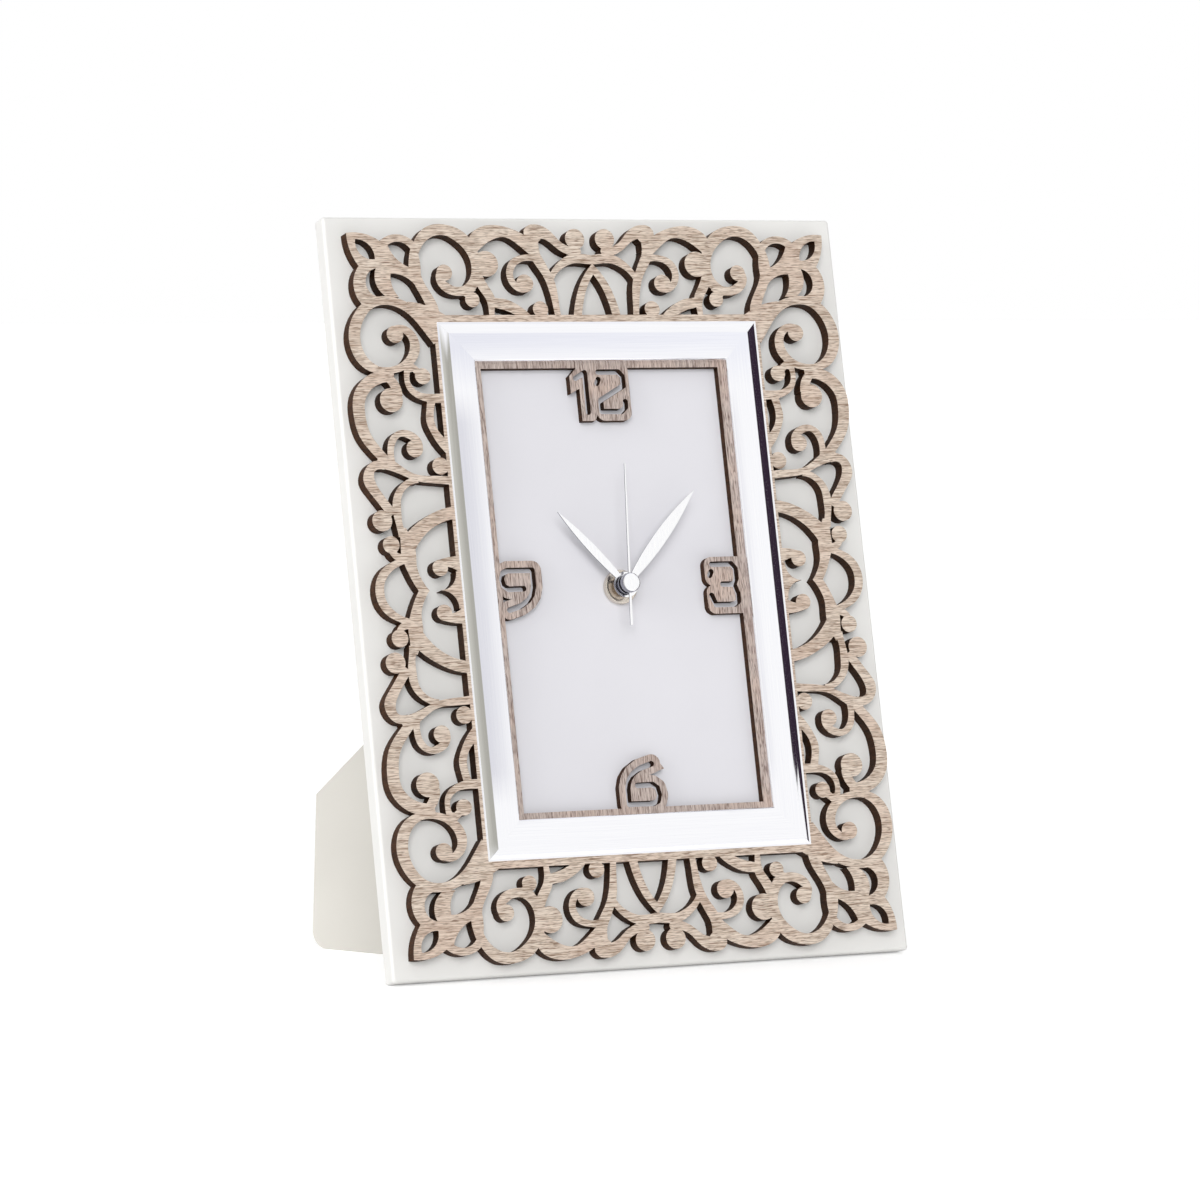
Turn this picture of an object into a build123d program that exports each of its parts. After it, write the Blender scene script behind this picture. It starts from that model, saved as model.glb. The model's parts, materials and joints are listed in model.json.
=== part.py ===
from build123d import *
from math import cos, hypot, pi, radians, sin
import os

# Table clock in a photo frame: a lacquered board with scroll fretwork, a silver moulding round the dial,
# a battery movement behind it and a fold-out strut. Sizes in mm.
# Pieces are drawn on the board: x to the right, y up from the board's middle, z out of its front face.
# At the end the whole clock is leaned back onto its table.

os.makedirs("parts", exist_ok=True)

# Board, stance and gaps
board_w = 200.0
board_h = 270.5
board_t = 8.0
board_edge_r = 1.2
lean = 13.8
fit_gap = 0.3
rub_gap = 0.3
run_gap = 0.05

# Fretwork panel
fret_t = 5.2
fret_margin_side = 2.3
fret_margin_end = 3.5
ledge_side_w = 1.1
ledge_end_w = 2.6

# Silver rails
frame_w = 125.3
frame_h = 191.6
rail_side_w = 13.6
rail_end_w = 14.35
rail_flange_h = 0.35
rail_ridge_h = 0.85
rail_lip_h = 0.3
rail_face_drop = 0.45
rail_flange_share = 0.055
rail_ridge_share = 0.29
rail_roll_share = 0.94

# Numeral fret
numeral_t = 3.2
numeral_border_side = 2.5
numeral_border_end = 2.1
numeral_tuck = 3.5
numeral_channel = 2.0
numeral_band = 2.4
numeral_corner_r = 3.0
numeral_unit = 1.0
twelve_inset = 10.8
twelve_shift = -6.2
three_inset = 6.6
three_shift = -0.6
six_inset = 9.9
six_shift = -1.0
nine_inset = 7.3
nine_shift = -1.9

# Dial and back panel
dial_t = 3.0
dial_tuck = 1.7
cutout_gap = 1.0

# Battery, size AA, and its contacts
cell_r = 7.1
cell_len = 49.2
cell_nub_r = 2.7
cell_nub_h = 1.3
cell_gap = 0.4
contact_t = 0.5
contact_w = 10.0
spring_len = 2.5
spring_r = 4.0

# Movement case
case_wall = 1.0
case_corner_r = 3.0
gasket_r = 11.0
gasket_t = 1.0
post_r = 0.9

# Bush, washer and nut
bush_r = 4.0
bush_top = 5.2
bush_bore_r = 2.55
washer_r = 6.0
washer_t = 0.5
nut_r = 6.2
nut_h = 2.0
nut_recess_r = 5.1
nut_recess_h = 1.3
nut_round = 0.5

# Hands
hour_len = 35.7
minute_len = 44.5
second_len = 43.3
second_tail = 15.2
hand_t = 0.5
hour_angle = -41.7
minute_angle = 41.6
second_angle = 3.6
hand_step = 1.6
hour_widest = 3.1
minute_widest = 4.8
hand_neck = 2.0
hour_hub_r = 4.6
minute_hub_r = 3.7
collet_h = 0.5
second_w = 0.62
cap_r = 3.5
cap_h = 1.8
cap_round = 0.9

# Gear train: wheels in layers behind the front wall of the case
wheel_t = 0.8
layer_step = 1.6
first_layer_gap = 0.4
minute_shaft_r = 1.6
second_shaft_r = 0.5
arbor_r = 0.5
hour_teeth = 40
motion_pinion_teeth = 10
cannon_teeth = 12
motion_teeth = 36
centre_teeth = 64
third_pinion_teeth = 8
third_teeth = 60
second_pinion_teeth = 8
second_teeth = 40
fifth_pinion_teeth = 8
fifth_teeth = 48
rotor_teeth = 8
motion_reach = 8.75
motion_angle = 45.0
third_reach = 10.2
third_angle = 135.0
fifth_reach = 7.2
rotor_reach = 7.0
rotor_magnet_r = 2.8
rotor_magnet_t = 2.0
stator_gap = 0.5
stator_t = 0.8
stator_w = 10.0
stator_bar_w = 2.0
coil_r = 3.2
coil_len = 16.0
coil_reach = 8.3
circuit_w = 40.0
circuit_h = 9.0
circuit_t = 1.0
knob_r = 6.0
knob_h = 4.0
knob_sides = 18
knob_shaft_r = 1.5

# Turn buttons
button_len = 18.0
button_w = 8.0
button_t = 1.0
button_tail = 5.0
button_setback = 4.5
button_end_gap = 19.35
button_strut_gap = 4.25
screw_r = 1.5
screw_head_r = 3.0
screw_head_h = 1.1
screw_depth = 5.0
slot_w = 0.7
slot_depth = 0.5

# Strut and its hinge; the strut's outline is measured from the hinge pin and from the board's lower edge
strut_t = 4.0
strut_open = 123.0
strut_root = 4.0
strut_reach = 109.8
strut_heel = 23.2
strut_back_reach = 101.8
strut_back_top = 78.8
strut_top_reach = 68.9
strut_top = 100.0
strut_corner_r = 7.0
hinge_x = -28.0
hinge_low = 21.0
hinge_top_gap = 2.0
knuckle_r = 2.5
knuckle_gap = 0.8
knuckle_count = 5
pin_r = 1.2
leaf_t = 1.0
leaf_w = 16.0
leaf_screw_r = 1.2
leaf_screw_head_r = 2.2
leaf_screw_head_h = 0.8
leaf_screw_depth = 2.5
wedge_len = 12.0
wedge_from = 5.0
wedge_to = 12.0
wedge_slope = 4.0

# Sizes worked out from those above
lip_w = frame_w - 2 * rail_side_w
lip_h = frame_h - 2 * rail_end_w
numeral_inner_w = lip_w - 2 * numeral_border_side
numeral_inner_h = lip_h - 2 * numeral_border_end
numeral_outer_w = lip_w + 2 * numeral_tuck
numeral_outer_h = lip_h + 2 * numeral_tuck * rail_end_w / rail_side_w
fret_window_w = numeral_outer_w + 2 * fit_gap
fret_window_h = numeral_outer_h + 2 * fit_gap
ledge_w = frame_w + 2 * ledge_side_w
ledge_h = frame_h + 2 * ledge_end_w
dial_w = numeral_inner_w + 2 * dial_tuck
dial_h = numeral_inner_h + 2 * dial_tuck
window_w = dial_w + 2 * fit_gap
window_h = dial_h + 2 * fit_gap
inner_side = cell_len + cell_nub_h + 2 * contact_t + spring_len
case_side = inner_side + 2 * case_wall
case_front = -dial_t - gasket_t
case_low = case_front - case_wall - 2 * (cell_r + cell_gap)
case_back = case_low - case_wall
hour_pipe_r = bush_bore_r - run_gap
hour_z = bush_top + rub_gap + collet_h
minute_z = hour_z + hand_step
second_z = minute_z + hand_step
nodes = {}


def block(width, height, low, high):
    """Box centred on the dial's axis."""
    return Pos(0, 0, (low + high) / 2) * Box(width, height, high - low)


def rod(radius, low, high, x=0.0, y=0.0):
    """Round bar square to the board."""
    return Pos(x, y, (low + high) / 2) * Cylinder(radius, high - low)


def raise_face(face, low, high):
    """Flat outline thickened between two heights."""
    return Pos(0, 0, low) * extrude(face, high - low, dir=(0, 0, 1))


def polygon(points):
    return make_face(Polyline(*points, close=True))


def smooth_line(points):
    """Straight edge for two points, a smooth curve for more."""
    if len(points) == 2:
        return Line(*points)
    return Spline(*points)


def ribbon(points):
    """Band that follows a smooth line; each point is (x, y, width)."""
    left = []
    right = []
    last = len(points) - 1
    for i, (x, y, width) in enumerate(points):
        ahead = points[min(i + 1, last)]
        behind = points[max(i - 1, 0)]
        run = hypot(ahead[0] - behind[0], ahead[1] - behind[1])
        across_x = (behind[1] - ahead[1]) / run * width / 2
        across_y = (ahead[0] - behind[0]) / run * width / 2
        left.append((x + across_x, y + across_y))
        right.append((x - across_x, y - across_y))
    end = Line(left[-1], right[-1])
    start = Line(right[0], left[0])
    return make_face([smooth_line(left), end, smooth_line(right[::-1]), start])


def arc_outline(points):
    """Closed outline of arcs; corners and the points midway between them take turns."""
    count = len(points)
    arcs = []
    for i in range(0, count, 2):
        arcs.append(ThreePointArc(points[i], points[i + 1], points[(i + 2) % count]))
    return make_face(arcs)


def stroke(points, width):
    """Pen line of even width with round ends."""
    marks = [Pos(x, y) * Circle(width / 2) for x, y in points]
    for (x0, y0), (x1, y1) in zip(points, points[1:]):
        marks.append(ribbon([(x0, y0, width), (x1, y1, width)]))
    return Sketch() + marks


# Fretwork: the upper left quarter of the ornament, measured from the board's lower left corner.
# Knots tie the ornament to the panel's edge, to the ledge round the silver rails and to the middle.
pattern_u = (2.3, 36.3, 99.75)
pattern_v = (267.0, 234.3, 135.4)
panel_x = (fret_margin_side - board_w / 2, -ledge_w / 2, 0.0)
panel_y = (board_h / 2 - fret_margin_end, ledge_h / 2, 0.0)


def zone(value, knots):
    """0 between the panel's edge and the ledge, 1 between the ledge and the middle."""
    return 0 if abs(value - knots[2]) > abs(knots[1] - knots[2]) else 1


def growth(value, knots, places):
    """Size of the panel there, against the drawing."""
    first = zone(value, knots)
    return (places[first + 1] - places[first]) / (knots[first + 1] - knots[first])


def stretch(value, knots, places):
    """Place between the panel's edge, the ledge and the middle."""
    first = zone(value, knots)
    return places[first] + (value - knots[first]) * growth(value, knots, places)


def on_panel(u, v):
    return stretch(u, pattern_u, panel_x), stretch(v, pattern_v, panel_y)


def swell(u, v):
    """How much wider the scrolls are drawn there, so that they still meet on a larger panel."""
    return max(growth(u, pattern_u, panel_x), growth(v, pattern_v, panel_y))


bands = [
    # Left ring, its spiral arm and the filled corner beside it
    [(13, 214.8, 3), (8, 218.6, 4), (5.9, 226, 4.3), (8.3, 233.8, 4), (14, 238.8, 3.4), (20.5, 239.4, 3),
     (27, 237, 3.4), (32.5, 231.8, 4), (37, 224.5, 3)],
    [(14, 214.4, 3), (19.5, 214.6, 2.4), (24.5, 216.6, 3), (28, 221, 3.7), (28, 226, 3.4), (25.3, 229, 2.8),
     (21.3, 229.4, 2.2)],
    [(27, 238.2, 2), (33, 235.6, 5), (38, 231, 9)],
    # Top ring, its left side and its spiral arm
    [(31.6, 250, 3.2), (31.3, 254.5, 2.8), (33.6, 260.2, 3.4), (38, 264, 4), (43.5, 264.7, 3.9),
     (49.5, 262.2, 4.6), (53.6, 257, 4), (54.7, 251.5, 3.6), (53.6, 246.6, 3.8), (50.4, 243.6, 3.4)],
    [(31.6, 251, 3.2), (32.2, 246, 3.6), (34.6, 241.4, 3.8), (36.4, 233.5, 5)],
    [(53, 244.6, 3.2), (50, 243.2, 3.4), (46, 242.8, 3.2), (42.2, 244.4, 3.4), (40.3, 247, 2.8),
     (40.7, 249.4, 2.6)],
    # Filled neck between the top ring and the small curl
    [(54.8, 249.5, 3.4), (55.2, 247.5, 3.6), (57.2, 243.4, 3.6), (58.9, 240.4, 3.4), (59.1, 237, 2.4),
     (58.9, 233, 2.2)],
    [(58.8, 239.6, 3), (61, 238.6, 3.6), (63.5, 238.2, 3.9), (67.5, 236.7, 3.8), (70.6, 234.8, 3.6),
     (73, 232.6, 3.4)],
    [(49.5, 242.6, 3), (51.8, 240.4, 2.4)],
    # Second arch and the neck that ends it
    [(54, 258, 4), (56.2, 261.3, 6), (61.1, 263.8, 5.4), (67, 264, 3.8), (73, 261.2, 4.4), (78.6, 256, 3.4)],
    [(76.4, 262.4, 6), (77.3, 259, 4.6), (78.3, 256.4, 2.9), (80, 253.4, 2.2), (81.2, 251, 2.2)],
    # Curl beside the stem, and the stem
    [(79.5, 254.6, 3.4), (76.6, 254.9, 2.6), (73, 254.7, 2.3), (69.2, 253, 2.7), (67.3, 249.2, 2.6),
     (68.3, 245.6, 2.5), (70.6, 243.7, 2.4), (73, 243.6, 2.2)],
    [(77.4, 255.2, 2.6), (79.2, 252.8, 3.3), (81.3, 249.6, 3.3), (83, 245.4, 3.2), (83.8, 240.7, 2.7),
     (84.6, 233, 2.3)],
    # Arcs that cross on the middle line, and the band above them
    [(92, 233, 3.2), (93.6, 240, 3), (96.4, 246.4, 2.8), (100.5, 251.6, 2.6), (104, 254.2, 2.4)],
    [(82.8, 246.2, 1.8), (84.3, 249.2, 2.2), (85.9, 251, 2.4), (88.8, 253.1, 2.9), (91.5, 254.3, 3.2),
     (95, 254.6, 3.4), (99, 254.2, 3.4), (103, 253.9, 3.4)],
    # Hump and the band that falls from it to the end disc
    [(74.6, 263.2, 3), (80, 264.3, 4.8), (84, 262.5, 3.6), (87.6, 259.2, 2.9), (91.6, 257.2, 3), (95.5, 256, 2)],
    # Left C-scroll and the neck of its inner disc
    [(19, 211.8, 3.2), (14.5, 212, 4.2), (9.5, 209.8, 4.6), (5.8, 205, 4.6), (5.1, 198, 4.4), (6.4, 191.5, 4.2),
     (9.5, 186.5, 3.8), (14, 181.4, 3.4)],
    [(17.5, 211.5, 3.4), (19.6, 208.4, 3.6), (20, 205, 4)],
    # Link from the spiral arm to the ledge, and the stroke under it
    [(25.4, 216, 3.4), (24.2, 211.5, 2), (24.9, 208.2, 2.2), (27.6, 205.6, 2.4), (32, 204.3, 3), (38, 204.2, 3.2)],
    [(26, 216, 2.6), (29.6, 213, 2.6)],
    [(32.8, 204, 3.4), (31.8, 199.5, 2.8), (31.5, 196.5, 3), (32.5, 192.8, 2.8), (35, 188.8, 3.4), (38, 185.6, 4)],
    # Inner curl of the C-scroll
    [(15.5, 181, 3), (15.5, 185.5, 2.4), (16.6, 189.2, 2.6), (19.5, 191.6, 2.3), (23, 191.2, 2.8), (26, 188.8, 2.8),
     (26.4, 186.2, 2.8)],
    # Pointed loop and its two bands to the ledge
    [(12, 180.4, 3.4), (7.2, 178.6, 3.6), (6.4, 175, 4.2), (8.3, 171, 3.6), (11.2, 166.8, 3.4), (14, 162.6, 3.4)],
    [(10, 181, 3), (15.5, 180.2, 3.8), (19.5, 178, 2.6), (23.5, 176, 2.3), (30, 175, 2.6), (38, 174.3, 2.8)],
    [(24.5, 175, 2.4), (19.5, 173, 2.4), (16.7, 169.5, 2.8), (15.8, 165, 3.2), (16, 160.5, 2.6), (17.2, 155, 3.4)],
    # Branch to the ledge, trunk down to the middle line, outer arch
    [(18.4, 151, 6), (22.5, 156, 5.2), (27, 159.4, 4.6), (32, 161.8, 4.4), (38, 163, 4.4)],
    [(17, 157.6, 3), (18, 154, 4), (18.6, 149, 5.6), (19.3, 143.5, 4), (20.8, 139.3, 3.4), (24.6, 133.6, 3.4)],
    [(18.5, 147, 3), (13.5, 145.2, 2.4), (9.6, 142.7, 3), (7.1, 139, 3.2), (6.5, 135.4, 3.3), (7.1, 131.8, 3.2)],
    [(12.2, 150.6, 2.4), (13.6, 148.2, 2.6), (17.5, 147.4, 3.4)],
    # Curl and cusp on the ledge at the middle line
    [(30, 145, 2.6), (33.6, 145.4, 3.6), (38, 144.4, 6)],
    [(37.5, 141.6, 3.6), (36.6, 138, 3.4), (34, 135.9, 2.2), (29.8, 135.2, 0.5)],
]

# End discs of the scrolls: (u, v, radius)
discs = [
    (21.3, 227.4, 3.1), (42.3, 249.4, 2.9), (52, 239.8, 2.7), (58.5, 252.6, 4.6), (72.8, 245.6, 3.2),
    (77.9, 236.3, 2.9), (77.7, 263.4, 3.4), (93.9, 261.6, 3.7), (17.6, 203.7, 4.3), (30.3, 212.2, 2.9),
    (24.7, 186.2, 3.1), (33.8, 179.8, 3.1), (9.9, 160.6, 3.7), (12.4, 152, 3.1), (30, 143.4, 2.9),
]

# Round joints that fill the corners where scrolls meet: (u, v, radius)
fills = [(14.2, 213.4, 2.3), (17.6, 212.9, 1.9), (25.6, 215.6, 1.9), (94.4, 257.2, 1.5), (36.2, 135.4, 1.3)]

# Corner flower: one filled outline with four petals cut out
flower = [(6.4, 263.4), (13, 263.2), (18.8, 260.6), (25, 263), (31.6, 260.6), (33.4, 250), (30, 240),
          (22, 240.6), (10, 238), (7.4, 244.4), (10, 251.7), (7.3, 257)]
flower_petals = [
    [(9.6, 261.2), (15, 258.8), (16.4, 254.1), (11.2, 255.8)],
    [(21.7, 259.1), (26.4, 260.3), (30.2, 257.8), (29.3, 254.6), (28.9, 251.4), (23.6, 255.4)],
    [(16.4, 250.9), (15.9, 245.4), (19.2, 241), (12.1, 246)],
    [(21.8, 249), (28.4, 247.2), (32.6, 237.5), (22.9, 242.4)],
]


def quarter_ornament():
    """Upper left quarter of the scrolls, cut off at both middle lines."""
    shapes = []
    for band in bands:
        shapes.append(ribbon([(*on_panel(u, v), width * swell(u, v)) for u, v, width in band]))
    for u, v, radius in discs + fills:
        shapes.append(Pos(*on_panel(u, v)) * Circle(radius * swell(u, v)))
    quarter = Sketch() + arc_outline([on_panel(*spot) for spot in flower])
    for outline in flower_petals:
        quarter -= arc_outline([on_panel(*spot) for spot in outline])
    quarter += shapes
    return quarter & Pos(-board_w / 4, board_h / 4) * Rectangle(board_w / 2, board_h / 2)


def fretwork():
    quarter = quarter_ornament()
    half = quarter + mirror(quarter, about=Plane.YZ)
    whole = half + mirror(half, about=Plane.XZ)
    whole += Rectangle(ledge_w, ledge_h)
    whole -= Rectangle(fret_window_w, fret_window_h)
    return raise_face(whole, 0, fret_t)


# Numbers: pen lines from each number's own middle, in drawing units, cut through a small block
twelve_lines = [
    [(-3.9, 7.1), (-0.2, 9.1), (-0.2, -5.3)],
    [(5.1, 9.3), (13, 9.3), (14.5, 7.7), (14.5, 4.2), (5.1, -1), (5.1, -5.1), (12.8, -5.2), (14.6, -3.6),
     (14.7, -1.6)],
    [(4.2, 5.2), (4.9, 6.6)],
]
one_block = [(-6.3, 1.5), (-2.8, 3.3), (-2.8, -8.5), (2.2, -8.5), (3.4, -6.2), (4.2, -4), (4.2, 12), (-2.3, 12),
             (-6.3, 7.9)]
two_block = [(3.2, -8.5), (16.8, 12.9)]
three_lines = [
    [(-4, 7.6), (3.8, 7.6), (5.2, 5.9), (5.2, 2.3), (4.2, 0.1), (5.3, -3.2), (5.2, -6.1), (3.6, -7.1), (-3.8, -7.1),
     (-5.2, -3.7)],
    [(-0.4, 0.3), (4, 0.2)],
    [(-5.2, 3.6), (-4.5, 4.9)],
]
three_blocks = [[(-7.1, -0.2), (9.1, 10.3)], [(-7, -10.4), (9.1, 0.2)]]
six_lines = [
    [(5.2, 5.5), (0.8, 4.2), (-2.4, 2.2), (-4.1, 0), (-4.9, -2.8), (-4.9, -8.5), (4.6, -8.6), (6.4, -7.8),
     (7.1, -5.6), (6.6, -3.2), (4.8, -1.9), (-1, -2)],
]
six_tip = [(5.5, 8.9), (7.5, 7), (10, 3.6), (3, 1.4)]


def drawn(points):
    """Points of a number's drawing at their real size."""
    return [(x * numeral_unit, y * numeral_unit) for x, y in points]


def round_block(corners):
    """Rectangle between two corners, with the round corners of the numbers."""
    (left, low), (right, high) = drawn(corners)
    return Pos((left + right) / 2, (low + high) / 2) * RectangleRounded(right - left, high - low, numeral_corner_r)


def numeral_fret():
    """Thin border with the four outlined numbers on it; the 9 is the 6 turned over."""
    top = numeral_inner_h / 2
    side = numeral_inner_w / 2
    twelve = polygon(drawn(one_block)) + round_block(two_block)
    three = Sketch() + [round_block(corners) for corners in three_blocks]
    six = stroke(drawn(six_lines[0]), numeral_channel + 2 * numeral_band) + polygon(drawn(six_tip))
    numbers = [
        (twelve, twelve_lines, Pos(twelve_shift, top - twelve_inset)),
        (three, three_lines, Pos(side - three_inset, three_shift)),
        (six, six_lines, Pos(six_shift, six_inset - top)),
        (six, six_lines, Pos(nine_inset - side, nine_shift) * Rot(0, 0, 180)),
    ]
    face = Rectangle(numeral_outer_w, numeral_outer_h) - Rectangle(numeral_inner_w, numeral_inner_h)
    for body, _, spot in numbers:
        face += spot * body
    for _, lines, spot in numbers:
        face -= [spot * stroke(drawn(line), numeral_channel) for line in lines]
    return raise_face(face & Rectangle(numeral_outer_w, numeral_outer_h), 0, numeral_t)


def rail(length, width, end_width, seat):
    """Silver moulding with mitred ends; its outer edge lies on x = 0 and it runs along y."""
    edge = (0, fret_t + rail_flange_h)
    foot = (width * rail_flange_share, fret_t + rail_flange_h)
    ridge = (width * rail_ridge_share, fret_t + rail_ridge_h)
    roll = (width * rail_roll_share, fret_t + rail_ridge_h - rail_face_drop)
    lip = (width, numeral_t + rail_lip_h)
    outline = [
        Polyline((0, fret_t), edge, foot),
        Spline(foot, ridge, tangents=[(1, 0.35), (1, 0.08)]),
        Spline(ridge, roll, tangents=[(1, -0.03), (1, -0.12)]),
        Spline(roll, lip, tangents=[(1, -0.12), (0.3, -1)]),
        Polyline(lip, (width, numeral_t), (seat, numeral_t), (seat, fret_t), (0, fret_t)),
    ]
    bar = Pos(0, length / 2, 0) * extrude(Plane.XZ * make_face(outline), length)
    plan = [(0, -length / 2), (0, length / 2), (width, length / 2 - end_width), (width, end_width - length / 2)]
    return bar & raise_face(polygon(plan), 0, fret_t + 2 * rail_ridge_h)


def layer_top(layer):
    """Front face of a wheel, counted in layers from the front wall of the case."""
    return case_front - case_wall - first_layer_gap - layer * layer_step


def wheel(teeth, radius, layer, x=0.0, y=0.0, facing=0.0, gap=False):
    """Slim-toothed gear; a tooth, or a gap, lies on the line at the facing angle."""
    step = 2 * pi / teeth
    tip = radius * (1 + 0.24 * step)
    root = radius * (1 - 0.34 * step)
    start = radians(facing) + (step / 2 if gap else 0)
    corners = []
    for i in range(teeth):
        for reach, share in ((root, -0.24), (tip, -0.1), (tip, 0.1), (root, 0.24)):
            angle = start + (i + share) * step
            corners.append((x + reach * cos(angle), y + reach * sin(angle)))
    return raise_face(polygon(corners), layer_top(layer) - wheel_t, layer_top(layer))


def split(reach, first_teeth, second_teeth):
    """Pitch radii of two wheels that mesh across this distance."""
    first = reach * first_teeth / (first_teeth + second_teeth)
    return first, reach - first


def slotted_screw(radius, head_r, head_h, tip_z, seat_z, x, y):
    """Screw driven in from behind, with its head behind the seat."""
    screw = rod(radius, seat_z, tip_z, x, y) + rod(head_r, seat_z - head_h, seat_z, x, y)
    return screw - Pos(x, y, seat_z - head_h) * Box(2 * head_r + 1, slot_w, 2 * slot_depth)


def lance(length, widest, hub_r):
    """Lance-shaped hand that points up, with its round hub."""
    neck_y = hub_r * 0.7
    left = [(-hand_neck / 2, neck_y), (-widest / 2, length / 2), (0, length)]
    right = [(hand_neck / 2, neck_y), (widest / 2, length / 2), (0, length)]
    return make_face([Spline(*left), Spline(*right), Line(left[0], right[0])]) + Circle(hub_r)


# Dial side
nodes["fretwork_panel"] = fretwork()
nodes["numeral_fret"] = numeral_fret()
nodes["dial_board"] = block(dial_w, dial_h, -dial_t, 0) - rod(bush_r + run_gap, -dial_t - 1, 1)
side_rail = rail(frame_h, rail_side_w, rail_end_w, (frame_w - numeral_outer_w) / 2)
end_rail = rail(frame_w, rail_end_w, rail_side_w, (frame_h - numeral_outer_h) / 2)
nodes["frame_rail_left"] = Pos(-frame_w / 2, 0) * side_rail
nodes["frame_rail_right"] = Pos(frame_w / 2, 0) * Rot(0, 0, 180) * side_rail
nodes["frame_rail_top"] = Pos(0, frame_h / 2) * Rot(0, 0, -90) * end_rail
nodes["frame_rail_bottom"] = Pos(0, -frame_h / 2) * Rot(0, 0, 90) * end_rail

# Board and back panel
board = fillet(block(board_w, board_h, -board_t, 0).edges(), board_edge_r)
board -= block(window_w, window_h, -board_t - 1, 1)
cutout = case_side + 2 * cutout_gap
nodes["back_panel"] = block(dial_w, dial_h, -board_t, -dial_t) - block(cutout, cutout, -board_t - 1, 0)

# Turn buttons that hold the back panel in the window
button_top = -board_t - rub_gap
button_x = window_w / 2 + button_setback
button_high_y = window_h / 2 - button_end_gap
button_low_y = strut_top - board_h / 2 + button_len - button_tail + button_strut_gap
button_spots = [(side * button_x, y, side) for side in (-1, 1) for y in (button_low_y, button_high_y)]
button_screws = []
for i, (x, y, side) in enumerate(button_spots):
    plate = Pos(x - side * (button_len / 2 - button_tail), y) * SlotOverall(button_len, button_w)
    button = raise_face(plate, button_top - button_t, button_top)
    nodes[f"turn_button_{i + 1}"] = button - rod(screw_r + run_gap, button_top - button_t - 1, 0, x, y)
    board -= rod(screw_r, -board_t - 1, -board_t + screw_depth, x, y)
    button_screws.append(slotted_screw(
        screw_r, screw_head_r, screw_head_h, -board_t + screw_depth, button_top - button_t - rub_gap, x, y))
nodes["turn_button_screws"] = Compound(children=button_screws)

# Movement case and what clamps it to the dial
motion_x = motion_reach * cos(radians(motion_angle))
motion_y = motion_reach * sin(radians(motion_angle))
bay_wall_y = -inner_side / 2 + 2 * (cell_r + cell_gap) + case_wall / 2
case_plan = RectangleRounded(case_side, case_side, case_corner_r)
inner_plan = RectangleRounded(inner_side, inner_side, case_corner_r - case_wall)
case = raise_face(case_plan, case_low, case_front) - raise_face(inner_plan, case_low - 1, case_front - case_wall)
case += Pos(0, bay_wall_y) * block(inner_side + case_wall, case_wall, case_low, case_front)
case += rod(arbor_r, layer_top(2) + rub_gap, case_front, motion_x, motion_y)
nodes["movement_case"] = case - rod(bush_r, case_low, case_front + 1)
nodes["rubber_gasket"] = rod(gasket_r, case_front, -dial_t) - rod(bush_r, case_front, -dial_t)
bush = rod(bush_r, case_front - case_wall, bush_top)
nodes["threaded_bush"] = bush - rod(bush_bore_r, case_low, bush_top + 1)
nodes["dial_washer"] = rod(washer_r, 0, washer_t) - rod(bush_r, 0, washer_t)
nut_top = washer_t + nut_h
nut = rod(nut_r, washer_t, nut_top)
nut = fillet(nut.edges().group_by(Axis.Z)[-1], nut_round)
nut -= rod(nut_recess_r, nut_top - nut_recess_h, nut_top + 1)
nodes["bush_nut"] = nut - rod(bush_r, 0, nut_top)

# Gear train
third_x = third_reach * cos(radians(third_angle))
third_y = third_reach * sin(radians(third_angle))
rotor_x = fifth_reach + rotor_reach
arbor_back = case_low + fit_gap
hour_r, motion_pinion_r = split(motion_reach, hour_teeth, motion_pinion_teeth)
cannon_r, motion_r = split(motion_reach, cannon_teeth, motion_teeth)
centre_r, third_pinion_r = split(third_reach, centre_teeth, third_pinion_teeth)
second_pinion_r, third_r = split(third_reach, second_pinion_teeth, third_teeth)
second_r, fifth_pinion_r = split(fifth_reach, second_teeth, fifth_pinion_teeth)
fifth_r, rotor_pinion_r = split(rotor_reach, fifth_teeth, rotor_teeth)

hour_wheel = wheel(hour_teeth, hour_r, 0, facing=motion_angle)
hour_wheel += rod(hour_pipe_r, layer_top(0) - wheel_t, hour_z + hand_t)
nodes["hour_wheel"] = hour_wheel - rod(minute_shaft_r + run_gap, layer_top(1), hour_z + 1)

motion = wheel(motion_pinion_teeth, motion_pinion_r, 0, motion_x, motion_y, motion_angle + 180, gap=True)
motion += rod(motion_pinion_r / 2, layer_top(1), layer_top(0), motion_x, motion_y)
motion += wheel(motion_teeth, motion_r, 1, motion_x, motion_y, motion_angle + 180, gap=True)
nodes["motion_wheel"] = motion - rod(arbor_r + run_gap, layer_top(2), case_front, motion_x, motion_y)

minute_arbor = wheel(cannon_teeth, cannon_r, 1, facing=motion_angle)
minute_arbor += rod(minute_shaft_r, layer_top(2) - wheel_t, minute_z + hand_t)
nodes["minute_arbor"] = minute_arbor - rod(second_shaft_r + run_gap, layer_top(3), minute_z + 1)

centre_wheel = wheel(centre_teeth, centre_r, 2, facing=third_angle)
nodes["centre_wheel"] = centre_wheel - rod(minute_shaft_r + run_gap, layer_top(3), layer_top(1))

third_wheel = rod(arbor_r, arbor_back, case_front - case_wall - fit_gap, third_x, third_y)
third_wheel += wheel(third_pinion_teeth, third_pinion_r, 2, third_x, third_y, third_angle + 180, gap=True)
third_wheel += wheel(third_teeth, third_r, 3, third_x, third_y, third_angle + 180, gap=True)
nodes["third_wheel"] = third_wheel

second_arbor = rod(second_shaft_r, arbor_back, second_z + hand_t)
second_arbor += wheel(second_pinion_teeth, second_pinion_r, 3, facing=third_angle)
second_arbor += wheel(second_teeth, second_r, 4)
nodes["second_arbor"] = second_arbor

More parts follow.
